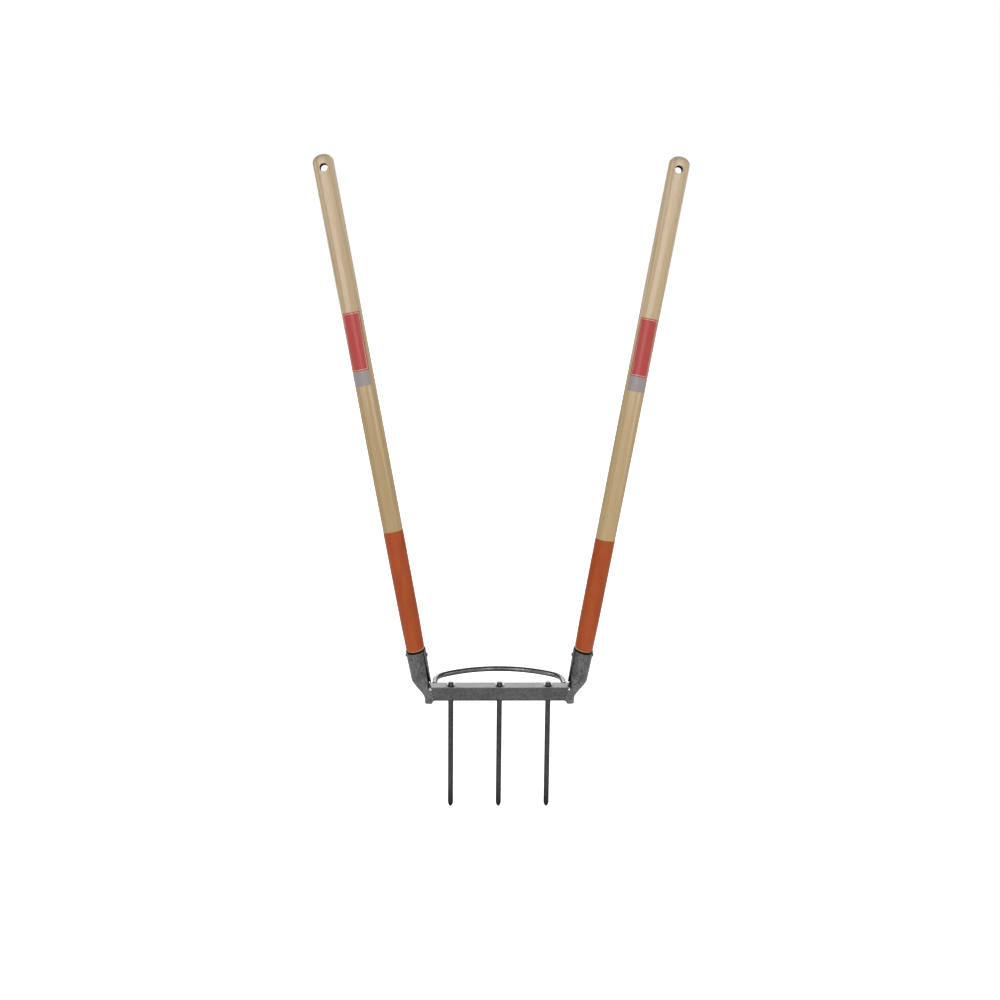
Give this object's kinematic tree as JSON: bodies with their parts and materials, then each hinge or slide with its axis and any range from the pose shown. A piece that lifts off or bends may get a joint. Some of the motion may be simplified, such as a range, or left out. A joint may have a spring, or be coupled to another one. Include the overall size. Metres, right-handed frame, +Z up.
{
  "type": "broadfork",
  "caption": "Two-handled broadfork: square steel crossbar with straight round tines, a bent rod heel behind it, and splayed ash handles riveted in rolled sheet sockets.",
  "frame": {"origin": "on the centre tine's axis, at the crossbar's underside", "axes": "+Z up along the tines, +X along the crossbar to the right seen from the front, +Y to the back where the user stands"},
  "size_m": [0.672, 0.2281, 1.1733],
  "materials": {
    "crossbar_steel": "hot rolled bar, dull grey mill scale",
    "tine_steel": "drawn rod, dark grey satin",
    "rod_steel": "drawn rod, dark grey satin",
    "socket_steel": "rolled sheet, grey mill scale",
    "rivet_steel": "dark hammered head",
    "weld_steel": "rippled weld bead, dark with bright crests",
    "ash_wood": "turned ash, sanded, oiled",
    "orange_lacquer": "thin dipped lacquer, satin",
    "label_paper": "plain coated paper label, red with a grey foot"
  },
  "bodies": {
    "root": {"crossbar": "crossbar_steel", "tine_left": "tine_steel", "tine_centre": "tine_steel", "tine_right": "tine_steel", "fulcrum_rod": "rod_steel", "socket_left": "socket_steel", "socket_right": "socket_steel", "rivet_left": "rivet_steel", "rivet_right": "rivet_steel", "handle_left": "ash_wood", "handle_right": "ash_wood", "lacquer_left": "orange_lacquer", "lacquer_right": "orange_lacquer", "label_left": "label_paper", "label_right": "label_paper", "tine_weld_left": "weld_steel", "tine_weld_centre": "weld_steel", "tine_weld_right": "weld_steel", "rod_weld_left": "weld_steel", "rod_weld_right": "weld_steel", "socket_weld_left": "weld_steel", "socket_weld_right": "weld_steel"}
  },
  "joints": []
}
